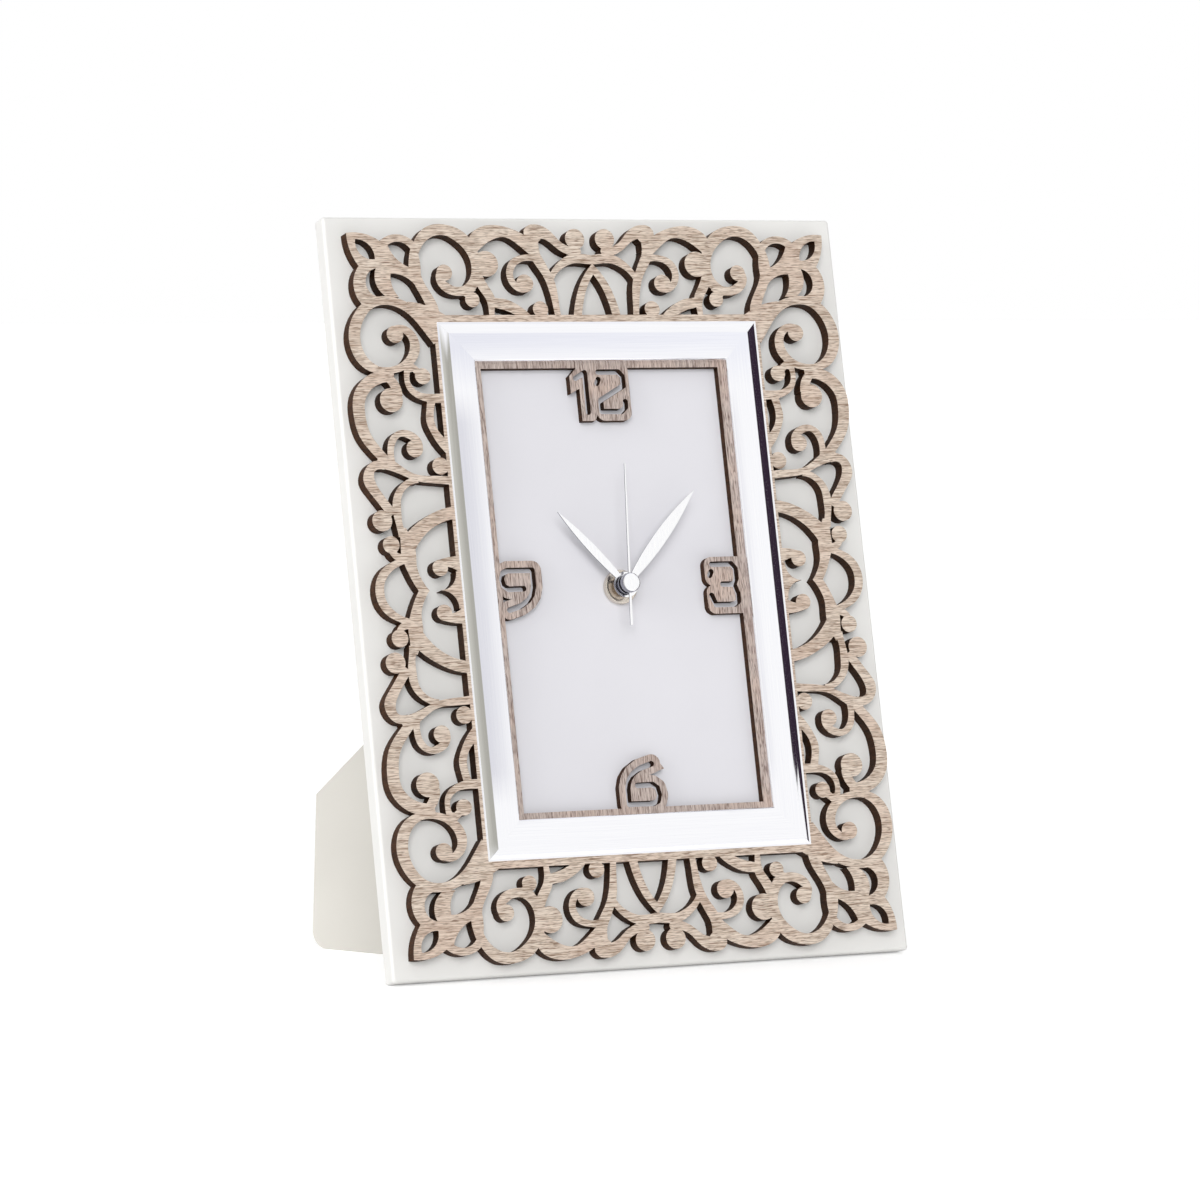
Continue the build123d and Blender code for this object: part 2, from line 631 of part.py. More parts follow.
fifth_wheel = rod(arbor_r, arbor_back, layer_top(4) + rub_gap, fifth_reach)
fifth_wheel += wheel(fifth_pinion_teeth, fifth_pinion_r, 4, fifth_reach, facing=180, gap=True)
fifth_wheel += wheel(fifth_teeth, fifth_r, 5, fifth_reach)
nodes["fifth_wheel"] = fifth_wheel

magnet_top = layer_top(6)
rotor = rod(arbor_r, arbor_back, layer_top(5) + rub_gap, rotor_x)
rotor += wheel(rotor_teeth, rotor_pinion_r, 5, rotor_x, facing=180, gap=True)
nodes["rotor"] = rotor + rod(rotor_magnet_r, magnet_top - rotor_magnet_t, magnet_top, rotor_x)

# Stator, coil and circuit board on posts of the rear cover
stator_top = magnet_top - (rotor_magnet_t - stator_t) / 2
stator_low = stator_top - stator_t
coil_x = rotor_x + coil_reach
stator_len = coil_reach + stator_w / 2
stator = Pos(coil_x - stator_len / 2, 0) * block(stator_len, stator_w, stator_low, stator_top)
stator += Pos(coil_x, 0) * block(stator_bar_w, coil_len + 2 * stator_bar_w, stator_low, stator_top)
nodes["stator"] = stator - rod(rotor_magnet_r + stator_gap, stator_low - 1, stator_top + 1, rotor_x)
coil_axis = Pos(coil_x, 0, stator_top - stator_t / 2) * Rot(90, 0, 0)
nodes["coil"] = coil_axis * Cylinder(coil_r, coil_len) - stator
circuit_x = circuit_w / 2 + case_wall - inner_side / 2
circuit_y = inner_side / 2 - case_wall - circuit_h / 2
nodes["circuit_board"] = Pos(circuit_x, circuit_y) * block(circuit_w, circuit_h, stator_low - circuit_t, stator_low)

cell_y = bay_wall_y - case_wall / 2 - cell_gap - cell_r
cell_z = case_low + cell_gap + cell_r
knob_x = 2 * motion_x
knob_y = 2 * motion_y
cover = raise_face(case_plan, case_back, case_low)
for end in (-1, 1):
    cover += rod(post_r, case_low, stator_low, coil_x, end * (coil_len + stator_bar_w) / 2)
    cover += rod(post_r, case_low, stator_low - circuit_t, circuit_x + end * circuit_w / 3, circuit_y)
cover -= Pos(0, cell_y) * block(cell_len, 2 * cell_r - 2 * case_wall, case_back - 1, case_low + 1)
nodes["movement_cover"] = cover - rod(knob_shaft_r + run_gap, case_back - 1, case_low + 1, knob_x, knob_y)

# Setting knob, which turns the motion wheel
knob_top = case_back - rub_gap
knob = Pos(knob_x, knob_y) * raise_face(RegularPolygon(knob_r, knob_sides), knob_top - knob_h, knob_top)
knob += rod(knob_shaft_r, knob_top, layer_top(1) - wheel_t, knob_x, knob_y)
knob += wheel(cannon_teeth, cannon_r, 1, knob_x, knob_y, motion_angle + 180)
nodes["setting_knob"] = knob

# Battery between its contacts
cell_end = inner_side / 2 - contact_t - cell_nub_h
cell_axis = Pos(cell_end, cell_y, cell_z) * Rot(0, 90, 0)
cell = cell_axis * Pos(0, 0, -cell_len / 2) * Cylinder(cell_r, cell_len)
nodes["battery"] = cell + cell_axis * Pos(0, 0, cell_nub_h / 2) * Cylinder(cell_nub_r, cell_nub_h)
contact = Box(contact_t, contact_w, contact_w)
contact_x = (inner_side - contact_t) / 2
spring = Pos((contact_t + spring_len) / 2, 0, 0) * Rot(0, 90, 0) * Cone(spring_r, spring_r / 2, spring_len)
nodes["contact_plus"] = Pos(contact_x, cell_y, cell_z) * contact
nodes["contact_minus"] = Pos(-contact_x, cell_y, cell_z) * (contact + spring)

# Hands
hour = raise_face(lance(hour_len, hour_widest, hour_hub_r), hour_z, hour_z + hand_t)
hour += rod(hour_hub_r * 0.8, hour_z - collet_h, hour_z)
nodes["hour_hand"] = Rot(0, 0, -hour_angle) * (hour - rod(hour_pipe_r, 0, hour_z + 1))
minute = raise_face(lance(minute_len, minute_widest, minute_hub_r), minute_z, minute_z + hand_t)
minute += rod(minute_hub_r * 0.8, minute_z - collet_h, minute_z)
nodes["minute_hand"] = Rot(0, 0, -minute_angle) * (minute - rod(minute_shaft_r, 0, minute_z + 1))
needle = ribbon([(0, -second_tail, 1.5 * second_w), (0, second_len, 0.6 * second_w)])
cap = rod(cap_r, second_z, second_z + hand_t + cap_h)
cap = fillet(cap.edges().group_by(Axis.Z)[-1], cap_round)
second = cap + raise_face(needle, second_z, second_z + hand_t)
nodes["second_hand"] = Rot(0, 0, -second_angle) * (second - rod(second_shaft_r, 0, second_z + hand_t))

# Strut hinge on the lower part of the board, drawn with the strut folded flat to the right
bottom_y = -board_h / 2
back_z = -board_t
pin_z = back_z - knuckle_r - knuckle_gap
hinge_len = (board_h - window_h) / 2 - hinge_low - hinge_top_gap
knuckle_step = hinge_len / knuckle_count
knuckle_len = knuckle_step - rub_gap
hinge_mid = bottom_y + hinge_low + hinge_len / 2


def hinge_rod(radius, length, y):
    """Round bar on the hinge line."""
    return Pos(hinge_x, y, pin_z) * Rot(90, 0, 0) * Cylinder(radius, length)


def hinge_plate(reach_from, reach_to, low, high, length, y):
    """Flat piece beside the hinge line, its reach measured from the pin."""
    middle = hinge_x + (reach_from + reach_to) / 2
    return Pos(middle, y, (low + high) / 2) * Box(reach_to - reach_from, length, high - low)


strut_low = pin_z - knuckle_r + leaf_t
strut_high = strut_low + strut_t
leaf_low = strut_low - leaf_t
fixed_leaf = hinge_plate(-leaf_w, -knuckle_r, back_z - leaf_t, back_z, hinge_len, hinge_mid)
strut_leaf = hinge_plate(strut_root, leaf_w, leaf_low, strut_low, hinge_len, hinge_mid)
knuckle_spots = [hinge_mid + (i - (knuckle_count - 1) / 2) * knuckle_step for i in range(knuckle_count)]
for i, y in enumerate(knuckle_spots):
    if i % 2 == 0:
        fixed_leaf += hinge_rod(knuckle_r, knuckle_len, y)
        fixed_leaf += hinge_plate(-knuckle_r - leaf_t, 0, pin_z, back_z, knuckle_len, y)
    else:
        strut_leaf += hinge_rod(knuckle_r, knuckle_len, y)
        strut_leaf += hinge_plate(0, leaf_w / 2, leaf_low, strut_low, knuckle_len, y)
fixed_leaf -= hinge_rod(pin_r, hinge_len, hinge_mid)
strut_leaf -= hinge_rod(pin_r + run_gap, hinge_len, hinge_mid)
nodes["hinge_pin"] = hinge_rod(pin_r, hinge_len - rub_gap, hinge_mid)

# Strut plate, drawn below its foot so that the table can cut it level
heel_slope = (strut_reach - strut_back_reach) / (strut_back_top - strut_heel)
low_reach = strut_reach + 2 * heel_slope * strut_heel
strut_outline = [(strut_root, -strut_heel), (low_reach, -strut_heel), (strut_back_reach, strut_back_top)]
strut_outline += [(strut_top_reach, strut_top), (strut_root, strut_top)]
strut = raise_face(polygon([(hinge_x + s, bottom_y + r) for s, r in strut_outline]), strut_low, strut_high)

# Screws of both hinge leaves
fixed_screw_x = hinge_x - (leaf_w + knuckle_r) / 2
strut_screw_x = hinge_x + (leaf_w + strut_root) / 2
fixed_screws = []
strut_screws = []
for y in (knuckle_spots[0], knuckle_spots[-1]):
    hole = rod(leaf_screw_r, back_z - 2 * leaf_t, back_z + leaf_screw_depth, fixed_screw_x, y)
    fixed_leaf -= hole
    board -= hole
    fixed_screws.append(slotted_screw(leaf_screw_r, leaf_screw_head_r, leaf_screw_head_h,
                                      back_z + leaf_screw_depth, back_z - leaf_t, fixed_screw_x, y))
    hole = rod(leaf_screw_r, leaf_low - leaf_t, strut_low + leaf_screw_depth, strut_screw_x, y)
    strut_leaf -= hole
    strut -= hole
    strut_screws.append(slotted_screw(leaf_screw_r, leaf_screw_head_r, leaf_screw_head_h,
                                      strut_low + leaf_screw_depth, leaf_low, strut_screw_x, y))
nodes["backing_board"] = board
nodes["hinge_fixed_leaf"] = fixed_leaf
nodes["fixed_leaf_screws"] = Compound(children=fixed_screws)

# The strut swings open about the pin, and the clock leans back on its lower rear edge
swing = Pos(hinge_x, 0, pin_z) * Rot(0, strut_open, 0) * Pos(-hinge_x, 0, -pin_z)
corner_y = board_h / 2 - board_edge_r
corner_z = board_t - board_edge_r
lift = board_edge_r + corner_y * cos(radians(lean)) + corner_z * sin(radians(lean))
stand = Pos(0, 0, lift) * Rot(90 - lean, 0, 0)
nodes["hinge_strut_leaf"] = swing * strut_leaf
nodes["strut_leaf_screws"] = swing * Compound(children=strut_screws)

# Wedge on the board that the open strut rests against
wedge_face_z = strut_low - pin_z - fit_gap
wedge_near = (swing * Pos(hinge_x + wedge_from, 0, pin_z + wedge_face_z)).position
wedge_far = (swing * Pos(hinge_x + wedge_to, 0, pin_z + wedge_face_z)).position
wedge_plan = [(wedge_near.X, back_z), (wedge_near.X, wedge_near.Z), (wedge_far.X, wedge_far.Z)]
wedge_plan += [(wedge_far.X - wedge_slope, back_z)]
wedge_y = bottom_y + (hinge_low + board_edge_r) / 2
nodes["strut_stop"] = Pos(0, wedge_y, 0) * extrude(Plane.XZ * polygon(wedge_plan), wedge_len / 2, both=True)

# Stand the clock on the table, level the strut's foot and put the middle of its footprint on the origin
placed = {name: stand * shape for name, shape in nodes.items()}
table = Pos(0, 0, -board_h / 2) * Box(4 * board_w, 4 * board_w, board_h)
strut = stand * swing * strut - table
heel = strut.edges().group_by(Axis.Z)[0].sort_by(Axis.Y)[-1]
placed["strut"] = fillet(heel, strut_corner_r)
boxes = [shape.bounding_box() for shape in placed.values()]
middle_y = (min(box.min.Y for box in boxes) + max(box.max.Y for box in boxes)) / 2
for name, shape in placed.items():
    export_step(Pos(0, -middle_y, 0) * shape, f"parts/{name}.step")

# Anchors of the joints, in metres
spots = {"dial": (0, 0, 0), "motion": (motion_x, motion_y, 0), "knob": (knob_x, knob_y, 0)}
spots.update({"third": (third_x, third_y, 0), "fifth": (fifth_reach, 0, 0), "rotor": (rotor_x, 0, 0)})
spots["strut"] = (hinge_x, hinge_mid, pin_z)
for i, (x, y, side) in enumerate(button_spots):
    spots[f"button {i + 1}"] = (x, y, button_top)
for name, spot in spots.items():
    point = (Pos(0, -middle_y, 0) * stand * Pos(*spot)).position
    print(name, round(point.X / 1000, 5), round(point.Y / 1000, 5), round(point.Z / 1000, 5))
print("total", [round(max(getattr(box.max, axis) for box in boxes), 2) for axis in "XYZ"], round(middle_y, 3))
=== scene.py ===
import json
import math

import bmesh
import bpy
from mathutils import Matrix, Vector


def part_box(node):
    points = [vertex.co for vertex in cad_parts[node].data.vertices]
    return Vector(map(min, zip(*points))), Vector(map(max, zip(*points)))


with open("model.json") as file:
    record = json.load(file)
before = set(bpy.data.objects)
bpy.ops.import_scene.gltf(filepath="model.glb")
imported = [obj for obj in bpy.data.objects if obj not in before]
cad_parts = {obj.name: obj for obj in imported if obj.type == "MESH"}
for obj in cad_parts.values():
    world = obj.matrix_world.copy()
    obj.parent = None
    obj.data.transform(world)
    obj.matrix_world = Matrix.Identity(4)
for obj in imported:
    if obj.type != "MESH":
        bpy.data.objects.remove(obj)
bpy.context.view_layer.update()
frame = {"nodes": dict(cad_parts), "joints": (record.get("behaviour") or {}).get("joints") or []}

# Looks of a table clock in a photo frame. Sizes are in metres, in the frame of the solids.

nodes = frame["nodes"]
MM = 0.001

# The dial's axis gives the leaning board: x across, y up the board, z out of its front face
dial_joint = next(joint for joint in frame["joints"] if joint["name"] == "minute_turn")
dial_centre = Vector(dial_joint["pos_m"])
board_out = -Vector(dial_joint["axis"])
board_right = Vector((1, 0, 0))
board_up = board_out.cross(board_right)
board_tilt = math.atan2(board_up.z, board_up.y)
board_space = Matrix((board_right, board_up, board_out)).transposed().to_4x4()
board_space.translation = dial_centre

# Camera of the photograph
CAMERA_PLACE = (-0.70237, -1.54118, 0.2385)
CAMERA_PITCH = 86.243
CAMERA_TURN = -24.593
CAMERA_LENS = 141.447
SENSOR = 36.0

WHITE = (1, 1, 1, 1)
BLACK = (0, 0, 0, 1)

# Half the side of the floor, and its glow where a lens, a mirror or glass looks at it
FLOOR_REACH = 30.0
FLOOR_GLOW = 0.45

# Even light of the surroundings on things, and their strength where a lens, a mirror or glass looks at them
AMBIENT = 0.19
BACKGROUND = 1.0

# Glowing cards that only mirrors see, which paint reflections on the silver rails, counted on the board: height of
# the shaded ones, corners of the plain ones
SHADE_OUT = 0.055
# Corners of a painted dark reflection for the right rail's outer bevel
DARK_REFLECTION_CARD = [(0.0905, -0.050, 0.054), (0.118, -0.160, 0.020), (0.118, 0.12, 0.020), (0.0905, 0.12, 0.054)]
# Corners of a painted pale reflection above and in front of the board
CEILING_REFLECTION_CARD = [(-0.6, 0.45, 0.1), (1.0, 0.45, 0.1), (1.0, 0.75, 0.6), (-0.6, 0.75, 0.6)]

# Places of the colour sockets on a mix node
MIX_INPUTS = (0, 6, 7)
MIX_OUTPUT = 2


def srgb(red, green, blue):
    """Linear colour of screen values from 0 to 255."""
    shares = [value / 255 for value in (red, green, blue)]
    return (*[s / 12.92 if s < 0.04045 else ((s + 0.055) / 1.055) ** 2.4 for s in shares], 1.0)


def even(size):
    """Grain of the same size across, up and out."""
    return (size, size, size)


class Look:
    """A material with a Principled shader, and short calls for the nodes in front of it."""

    def __init__(self, name, **sockets):
        self.material = bpy.data.materials.new(name)
        self.material.use_nodes = True
        self.tree = self.material.node_tree
        self.shader = self.tree.nodes["Principled BSDF"]
        self.place = self.add("ShaderNodeTexCoord").outputs["Object"]
        self.set(**sockets)

    def add(self, kind, sockets=(), **settings):
        node = self.tree.nodes.new(kind)
        for name, value in settings.items():
            setattr(node, name, value)
        for name, value in dict(sockets).items():
            self.put(node.inputs[name], value)
        return node

    def put(self, socket, value):
        if isinstance(value, bpy.types.NodeSocket):
            self.tree.links.new(value, socket)
        else:
            socket.default_value = value

    def set(self, **sockets):
        """Shader sockets by name, such as Base_Color."""
        for name, value in sockets.items():
            self.put(self.shader.inputs[name.replace("_", " ")], value)

    def on_board(self, size=even(1)):
        """Place on the leaning board, counted in grains of this size: across, up and out."""
        sockets = {"Vector": self.place, "Location": dial_centre, "Rotation": (board_tilt, 0, 0), "Scale": size}
        return self.add("ShaderNodeMapping", sockets, vector_type="TEXTURE").outputs["Vector"]

    def noise(self, size, detail=2.0, roughness=0.5, sway=None, swing=0.0, across=True):
        """Noise in grains of this size; sway bends its grain by up to half the swing, counted in grains."""
        place = self.on_board(size)
        if sway:
            shift = self.scale(sway, -swing / 2, swing / 2)
            step = self.add("ShaderNodeCombineXYZ", {"Y" if across else "X": shift}).outputs["Vector"]
            bend = self.add("ShaderNodeVectorMath", operation="ADD")
            self.put(bend.inputs[0], place)
            self.put(bend.inputs[1], step)
            place = bend.outputs["Vector"]
        sockets = {"Vector": place, "Scale": 1.0, "Detail": detail, "Roughness": roughness}
        return self.add("ShaderNodeTexNoise", sockets).outputs["Fac"]

    def ramp(self, factor, *stops):
        """Colours at places from 0 to 1."""
        node = self.add("ShaderNodeValToRGB", {"Fac": factor})
        elements = node.color_ramp.elements
        while len(elements) < len(stops):
            elements.new(0.5)
        for element, (spot, colour) in zip(elements, stops):
            element.position = spot
            element.color = colour
        return node.outputs["Color"]

    def scale(self, factor, low, high, start=0.0, end=1.0):
        """Number from low to high as the factor goes from start to end."""
        sockets = {"Value": factor, "From Min": start, "From Max": end, "To Min": low, "To Max": high}
        return self.add("ShaderNodeMapRange", sockets).outputs["Result"]

    def mix(self, factor, first, second):
        """First colour where the factor is 0, second where it is 1."""
        node = self.add("ShaderNodeMix", data_type="RGBA")
        for place, value in zip(MIX_INPUTS, (factor, first, second)):
            self.put(node.inputs[place], value)
        return node.outputs[MIX_OUTPUT]

    def bump(self, height, depth, strength=1.0):
        sockets = {"Height": height, "Distance": depth, "Strength": strength}
        self.set(Normal=self.add("ShaderNodeBump", sockets).outputs["Normal"])

    def facing(self, direction):
        """1 on faces that look this way, -1 on those that look the other way."""
        normal = self.add("ShaderNodeNewGeometry").outputs["True Normal"]
        node = self.add("ShaderNodeVectorMath", operation="DOT_PRODUCT")
        self.put(node.inputs[0], normal)
        self.put(node.inputs[1], direction)
        return node.outputs["Value"]


def veneer(name, across, light, mid, dark, pore):
    """Open-pored oak on the front, dark laser-cut walls; the grain runs across or up the board."""
    look = Look(name)

    def grain(length, width):
        return (length, width, width) if across else (width, length, width)

    sway = look.noise(grain(38 * MM, 9 * MM), 1.0)
    figure = look.noise(grain(60 * MM, 2.6 * MM), 2.0, 0.6, sway, 1.2, across)
    fibre = look.noise(grain(9 * MM, 0.34 * MM), 2.0, 0.7, sway, 1.6, across)
    pores = look.noise(grain(3 * MM, 0.24 * MM), 1.0, 0.5, sway, 2.4, across)
    blush = look.noise((24 * MM, 15 * MM, 20 * MM), 1.0)
    wood = look.ramp(fibre, (0.36, dark), (0.46, mid), (0.62, light))
    wood = look.mix(look.scale(figure, 0.0, 0.35, 0.5, 0.7), wood, light)
    wood = look.mix(look.scale(figure, 0.22, 0.0, 0.3, 0.48), wood, dark)
    wood = look.mix(look.scale(blush, 0.0, 0.3, 0.45, 0.7), wood, srgb(220, 190, 172))
    wood = look.mix(look.scale(pores, 0.0, 0.75, 0.54, 0.66), wood, pore)
    soot = look.noise((0.7 * MM, 0.7 * MM, 3 * MM), 2.0)
    wall = look.ramp(soot, (0.3, srgb(40, 21, 8)), (0.7, srgb(70, 42, 22)))
    front = look.scale(look.facing(board_out), 0.0, 1.0, 0.7, 0.8)
    look.set(Base_Color=look.mix(front, wall, wood), Specular_IOR_Level=0.12)
    look.set(Roughness=look.scale(fibre, 0.7, 0.52))
    look.bump(look.scale(pores, 0.0, -1.0, 0.5, 0.7), 0.12 * MM, 0.5)
    return look.material


def lacquer(name, low, high, roughness, peel):
    """Sprayed paint with a faint orange peel."""
    look = Look(name, Specular_IOR_Level=0.25)
    cloud = look.noise(even(60 * MM), 2.0)
    look.set(Base_Color=look.ramp(cloud, (0.35, low), (0.65, high)))
    look.set(Roughness=look.scale(look.noise(even(8 * MM)), roughness - 0.05, roughness + 0.05))
    look.bump(look.noise(even(1.6 * MM)), peel, 0.3)
    return look.material


def polished(name, low, high, roughness, size, side_shade=None):
    """Metal with fine lines; size is the length of a line across, up and out; the last colour, if given, is
    painted shade on the side faces.
    """
    look = Look(name, Metallic=1.0)
    lines = look.noise(size, 3.0, 0.6)
    tone = look.ramp(lines, (0.3, low), (0.7, high))
    # Painted shade: faces that don't look out of the board, such as the sides of the hands, get the darker tone
    if side_shade:
        tone = look.mix(look.scale(look.facing(board_out), 0.0, 1.0, 0.6, 0.8), side_shade, tone)
    look.set(Base_Color=tone)
    look.set(Roughness=look.scale(lines, roughness * 0.8, roughness * 1.2, 0.3, 0.7))
    look.bump(lines, 0.002 * MM, 0.4)
    return look.material


def zinc(name):
    """Galvanised steel with faint crystals and scratches."""
    look = Look(name, Metallic=1.0)
    crystals = look.add("ShaderNodeTexVoronoi", {"Vector": look.on_board(even(2.2 * MM)), "Scale": 1.0})
    spangle = look.ramp(crystals.outputs["Color"], (0.0, srgb(168, 171, 172)), (1.0, srgb(203, 205, 204)))
    scratches = look.noise((0.3 * MM, 6 * MM, 0.3 * MM), 2.0)
    look.set(Base_Color=look.mix(look.scale(scratches, 0.0, 0.5, 0.55, 0.75), spangle, srgb(140, 142, 144)))
    look.set(Roughness=look.scale(crystals.outputs["Distance"], 0.28, 0.45))
    look.bump(scratches, 0.01 * MM, 0.4)
    return look.material


def fibreboard(name):
    """Brown hardboard with pressed fibres."""
    look = Look(name, Specular_IOR_Level=0.3)
    fibres = look.noise((4 * MM, 0.5 * MM, 0.5 * MM), 4.0, 0.65)
    flecks = look.noise((0.7 * MM, 2.6 * MM, 0.7 * MM), 3.0, 0.6)
    brown = look.ramp(fibres, (0.3, srgb(98, 68, 44)), (0.7, srgb(143, 104, 70)))
    look.set(Base_Color=look.mix(look.scale(flecks, 0.0, 0.6, 0.55, 0.75), brown, srgb(66, 44, 29)))
    look.set(Roughness=look.scale(fibres, 0.6, 0.8))
    look.bump(fibres, 0.15 * MM, 0.5)
    return look.material


def moulded(name, low, high, roughness):
    """Moulded plastic or rubber with a fine tool texture."""
    look = Look(name)
    tone = look.noise(even(14 * MM))
    spark = look.noise(even(0.35 * MM), 2.0)
    look.set(Base_Color=look.ramp(tone, (0.35, low), (0.65, high)))
    look.set(Roughness=look.scale(spark, roughness - 0.08, roughness + 0.08))
    look.bump(spark, 0.03 * MM, 0.5)
    return look.material


def winding(name):
    """Copper wire wound in close turns."""
    look = Look(name, Metallic=0.8)
    sockets = {"Vector": look.on_board(even(2 * MM)), "Scale": 1.0, "Distortion": 0.4}
    wave = look.add("ShaderNodeTexWave", sockets, bands_direction="Y").outputs["Fac"]
    look.set(Base_Color=look.ramp(wave, (0.1, srgb(112, 52, 24)), (0.8, srgb(196, 116, 70))))
    look.set(Roughness=look.scale(wave, 0.45, 0.3))
    look.bump(wave, 0.05 * MM, 0.6)
    return look.material


def cell_jacket(name):
    """Plain printed sleeve of a battery, with a pale band and a steel cap at the end with the greater x."""
    look = Look(name)
    band_reach = 11 * MM
    cap_reach = 1.4 * MM
    blur = 0.2 * MM
    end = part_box("battery")[1].x
    across = look.add("ShaderNodeSeparateXYZ", {"Vector": look.place}).outputs["X"]
    sheen = look.noise((12 * MM, 3 * MM, 3 * MM))
    sleeve = look.ramp(sheen, (0.3, srgb(38, 74, 96)), (0.7, srgb(50, 92, 116)))
    band = look.scale(across, 0.0, 1.0, end - band_reach - blur, end - band_reach)
    sleeve = look.mix(band, sleeve, srgb(206, 208, 204))
    cap = look.scale(across, 0.0, 1.0, end - cap_reach - blur, end - cap_reach)
    look.set(Base_Color=look.mix(cap, sleeve, srgb(176, 176, 172)))
    look.set(Metallic=look.scale(cap, 0.2, 1.0))
    look.set(Roughness=look.scale(sheen, 0.28, 0.4))
    return look.material


# Materials by node
oak_across = veneer("oak_across", True, srgb(237, 223, 208), srgb(218, 200, 184), srgb(156, 134, 115),
                    srgb(120, 94, 75))
oak_upright = veneer("oak_upright", False, srgb(212, 198, 190), srgb(190, 174, 166), srgb(138, 120, 113),
                     srgb(100, 81, 75))
white_lacquer = lacquer("white_lacquer", srgb(241, 240, 237), srgb(245, 244, 241), 0.45, 0.01 * MM)
dial_grey = lacquer("dial_grey", srgb(231, 230, 235), srgb(234, 233, 238), 0.55, 0.006 * MM)
cream_board = lacquer("cream_board", srgb(214, 211, 204), srgb(220, 217, 210), 0.5, 0.02 * MM)
silver_tones = (srgb(246, 246, 250), srgb(252, 252, 254))
silver_upright = polished("silver_upright", *silver_tones, 0.1, (0.2 * MM, 30 * MM, 0.2 * MM))
silver_across = polished("silver_across", *silver_tones, 0.1, (30 * MM, 0.2 * MM, 0.2 * MM))
# The hands get a painted shade of grey on their side faces
hand_silver = polished("hand_silver", srgb(248, 248, 250), srgb(255, 255, 255), 0.16, (0.3 * MM, 4 * MM, 0.3 * MM),
                       srgb(150, 150, 160))
nickel = polished("nickel", srgb(206, 196, 184), srgb(226, 218, 208), 0.22, (1 * MM, 1 * MM, 0.15 * MM))
zinc_steel = zinc("zinc_steel")
core_steel = polished("core_steel", srgb(120, 122, 126), srgb(158, 160, 164), 0.35, (0.3 * MM, 5 * MM, 0.3 * MM))
back_brown = fibreboard("back_brown")
case_plastic = moulded("case_plastic", srgb(30, 30, 32), srgb(40, 40, 42), 0.45)
gear_plastic = moulded("gear_plastic", srgb(222, 217, 203), srgb(234, 229, 216), 0.4)
rubber = moulded("rubber", srgb(34, 33, 33), srgb(46, 45, 44), 0.7)
circuit_green = moulded("circuit_green", srgb(24, 84, 52), srgb(34, 104, 66), 0.4)
copper = winding("copper")
jacket = cell_jacket("cell_jacket")

finishes = {
    oak_across: ["fretwork_panel"],
    oak_upright: ["numeral_fret"],
    white_lacquer: ["backing_board", "strut_stop"],
    dial_grey: ["dial_board"],
    cream_board: ["strut"],
    silver_upright: ["frame_rail_left", "frame_rail_right"],
    silver_across: ["frame_rail_top", "frame_rail_bottom"],
    hand_silver: ["hour_hand", "minute_hand", "second_hand"],
    nickel: ["threaded_bush", "dial_washer", "bush_nut", "contact_plus", "contact_minus", "hinge_pin"],
    zinc_steel: ["turn_button_1", "turn_button_2", "turn_button_3", "turn_button_4", "turn_button_screws",
                 "hinge_fixed_leaf", "hinge_strut_leaf", "fixed_leaf_screws", "strut_leaf_screws"],
    core_steel: ["rotor", "stator"],
    back_brown: ["back_panel"],
    case_plastic: ["movement_case", "movement_cover", "setting_knob"],
    gear_plastic: ["hour_wheel", "motion_wheel", "minute_arbor", "centre_wheel", "third_wheel", "second_arbor",
                   "fifth_wheel"],
    rubber: ["rubber_gasket"],
    circuit_green: ["circuit_board"],
    copper: ["coil"],
    jacket: ["battery"],
}
for material, names in finishes.items():
    for name in names:
        for slot in nodes[name].material_slots:
            slot.material = material


# Studio: white floor and surroundings, soft sunlight, and glowing cards that only mirrors see, which paint
# reflections and reflected shade on the rails
def seen_light(tree, low, high):
    """Number that is high where a lens, a mirror or glass looks, and low for the light on things."""
    path = tree.nodes.new("ShaderNodeLightPath")
    seen = path.outputs["Is Camera Ray"]
    for name in ("Is Glossy Ray", "Is Transmission Ray"):
        either = tree.nodes.new("ShaderNodeMath")
        either.operation = "MAXIMUM"
        tree.links.new(seen, either.inputs[0])
        tree.links.new(path.outputs[name], either.inputs[1])
        seen = either.outputs["Value"]
    strength = tree.nodes.new("ShaderNodeMapRange")
    strength.inputs["To Min"].default_value = low
    strength.inputs["To Max"].default_value = high
    tree.links.new(seen, strength.inputs["Value"])
    return strength.outputs["Result"]


def staged(name, corners, look):
    """Flat stage piece through these corners."""
    mesh = bpy.data.meshes.new(name)
    form = bmesh.new()
    form.faces.new([form.verts.new(corner) for corner in corners])
    form.to_mesh(mesh)
    form.free()
    piece = bpy.data.objects.new(name, mesh)
    bpy.context.scene.collection.objects.link(piece)
    mesh.materials.append(look.material)
    return piece


def floor(reach):
    look = Look("floor_paint", Base_Color=srgb(243, 243, 243), Roughness=0.9, Specular_IOR_Level=0.0)
    look.set(Emission_Color=WHITE, Emission_Strength=seen_light(look.tree, 0.0, FLOOR_GLOW))
    staged("floor", [(-reach, -reach, 0), (reach, -reach, 0), (reach, reach, 0), (-reach, reach, 0)], look)


def card(name, colour, corners):
    """Glowing card that only mirrors see, a painted reflection, with its corners counted on the board; colour may
    be a call that draws it.
    """
    look = Look(name, Base_Color=BLACK, Roughness=1.0, Specular_IOR_Level=0.0)
    look.set(Emission_Color=colour(look) if callable(colour) else colour, Emission_Strength=1.0)
    look.material.cycles.emission_sampling = "NONE"
    piece = staged(name, [board_space @ Vector(corner) for corner in corners], look)
    piece.visible_camera = False
    piece.visible_diffuse = False
    piece.visible_transmission = False
    piece.visible_shadow = False


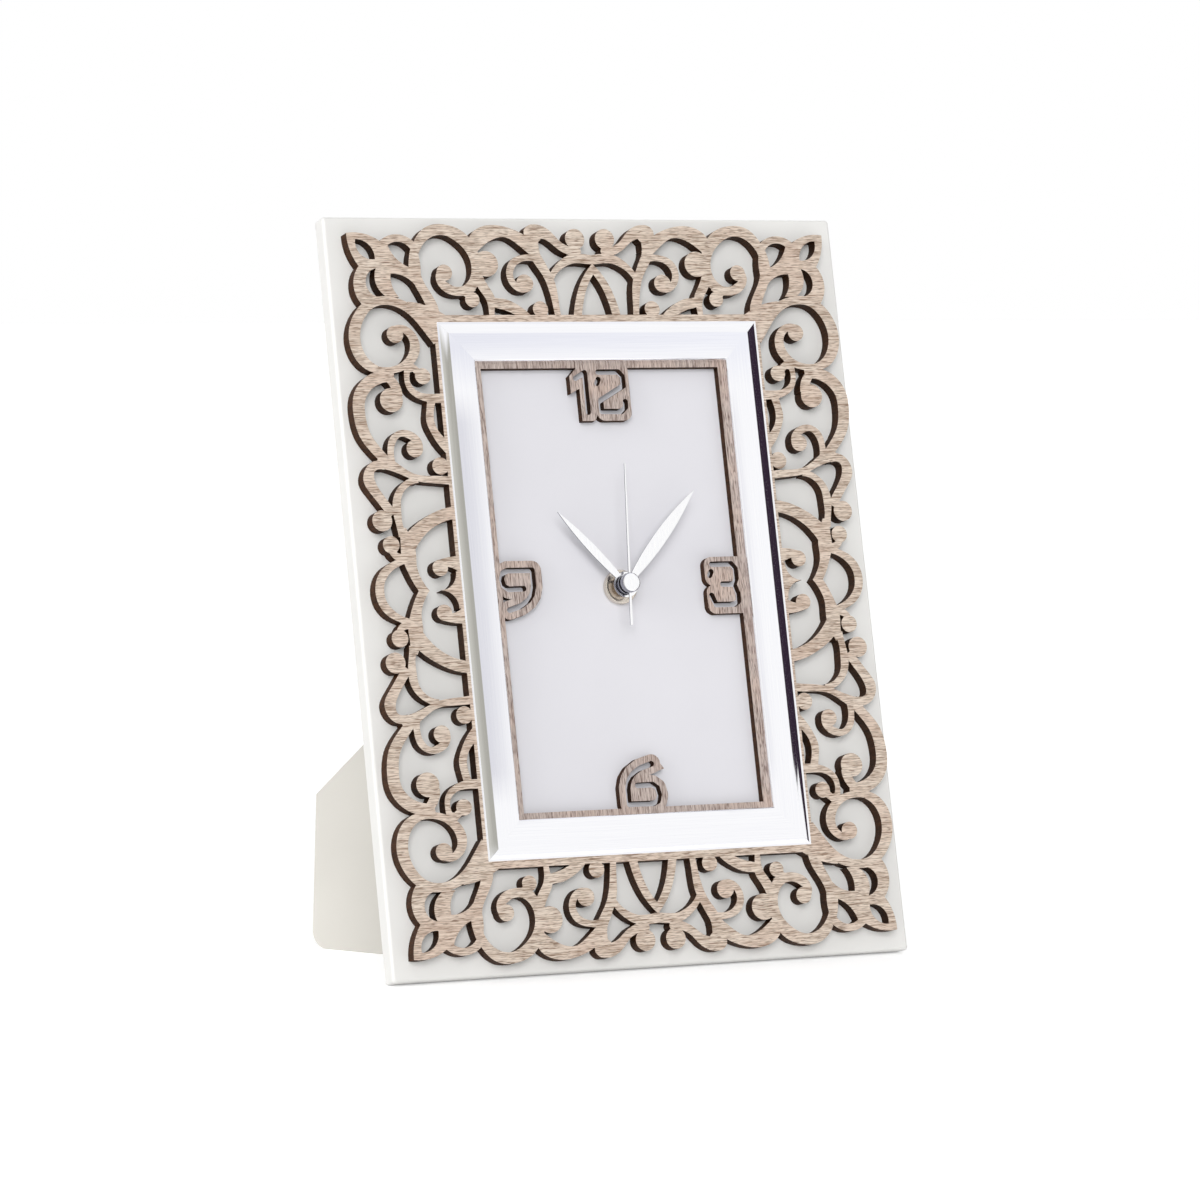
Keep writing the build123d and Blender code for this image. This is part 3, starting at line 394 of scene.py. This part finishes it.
def shade(name, stops, low, high, fade):
    """Card over the board that rails mirror, a painted reflection: tones at places across the board, white at its
    low and high ends.
    """
    left = stops[0][0]
    right = stops[-1][0]

    def tones(look):
        spot = look.add("ShaderNodeSeparateXYZ", {"Vector": look.on_board()})
        across = look.scale(spot.outputs["X"], 0.0, 1.0, left, right)
        tone = look.ramp(across, *[((x - left) / (right - left), colour) for x, colour in stops])
        tone = look.mix(look.scale(spot.outputs["Y"], 1.0, 0.0, low, low + fade), tone, WHITE)
        return look.mix(look.scale(spot.outputs["Y"], 0.0, 1.0, high - fade, high), tone, WHITE)

    outline = [(left, low), (right, low), (right, high), (left, high)]
    card(name, tones, [(x, y, SHADE_OUT) for x, y in outline])


def sun(name, towards, power, spread):
    """Soft lamp in this direction, which mirrors don't show; spread is its width in degrees."""
    data = bpy.data.lights.new(name, "SUN")
    data.energy = power
    data.angle = math.radians(spread)
    piece = bpy.data.objects.new(name, data)
    piece.rotation_euler = Vector(towards).to_track_quat("Z", "Y").to_euler()
    piece.visible_glossy = False
    bpy.context.scene.collection.objects.link(piece)


def surroundings():
    """Even light on things, and white where a lens, a mirror or glass looks at it."""
    world = bpy.data.worlds.new("studio")
    world.use_nodes = True
    back = world.node_tree.nodes["Background"]
    back.inputs["Color"].default_value = WHITE
    world.node_tree.links.new(seen_light(world.node_tree, AMBIENT, BACKGROUND), back.inputs["Strength"])
    bpy.context.scene.world = world


def camera():
    data = bpy.data.cameras.new("camera")
    data.sensor_width = SENSOR
    data.lens = CAMERA_LENS
    piece = bpy.data.objects.new("camera", data)
    piece.location = CAMERA_PLACE
    piece.rotation_euler = (math.radians(CAMERA_PITCH), 0, math.radians(CAMERA_TURN))
    bpy.context.scene.collection.objects.link(piece)
    bpy.context.scene.camera = piece


floor(FLOOR_REACH)
sun("front", (-0.28, -0.89, 0.36), power=1.7, spread=40)
sun("side", (-0.98, 0.0, 0.20), power=1.7, spread=50)
sun("top", (-0.10, -0.25, 0.96), power=0.3, spread=60)
sun("back", (0.25, 0.85, 0.45), power=1.0, spread=60)
surroundings()
# Painted reflection: a dark purple card that the right rail's outer bevel mirrors as a dark band
card("dark_reflection_card", srgb(52, 40, 54), DARK_REFLECTION_CARD)
# Painted reflections on the rails: an olive-grey band in the left rail's outer bevel, grey on the inner parts of
# the left and right faces, lilac on the top rail's face
olive = srgb(172, 170, 161)
bevel_tones = [(-0.100, srgb(224, 225, 216)), (-0.074, srgb(216, 215, 206)), (-0.048, olive), (-0.0425, olive)]
shade("left_bevel_shade", bevel_tones, low=-0.095, high=0.108, fade=0.010)
reflection_grey = srgb(220, 220, 226)
shade("left_face_shade", [(-0.036, reflection_grey), (-0.013, WHITE)], low=-0.070, high=0.082, fade=0.012)
shade("right_face_shade", [(0.056, reflection_grey), (0.070, WHITE)], low=-0.070, high=0.082, fade=0.012)
lilac_tones = [(-0.042, srgb(235, 236, 243)), (0.085, srgb(246, 247, 252))]
shade("top_face_shade", lilac_tones, low=0.082, high=0.115, fade=0.016)
# Painted reflection: a pale lilac card above and in front of the board that the rails mirror
card("ceiling_reflection_card", srgb(236, 237, 246), CEILING_REFLECTION_CARD)
camera()
bpy.context.scene.view_settings.view_transform = "Standard"
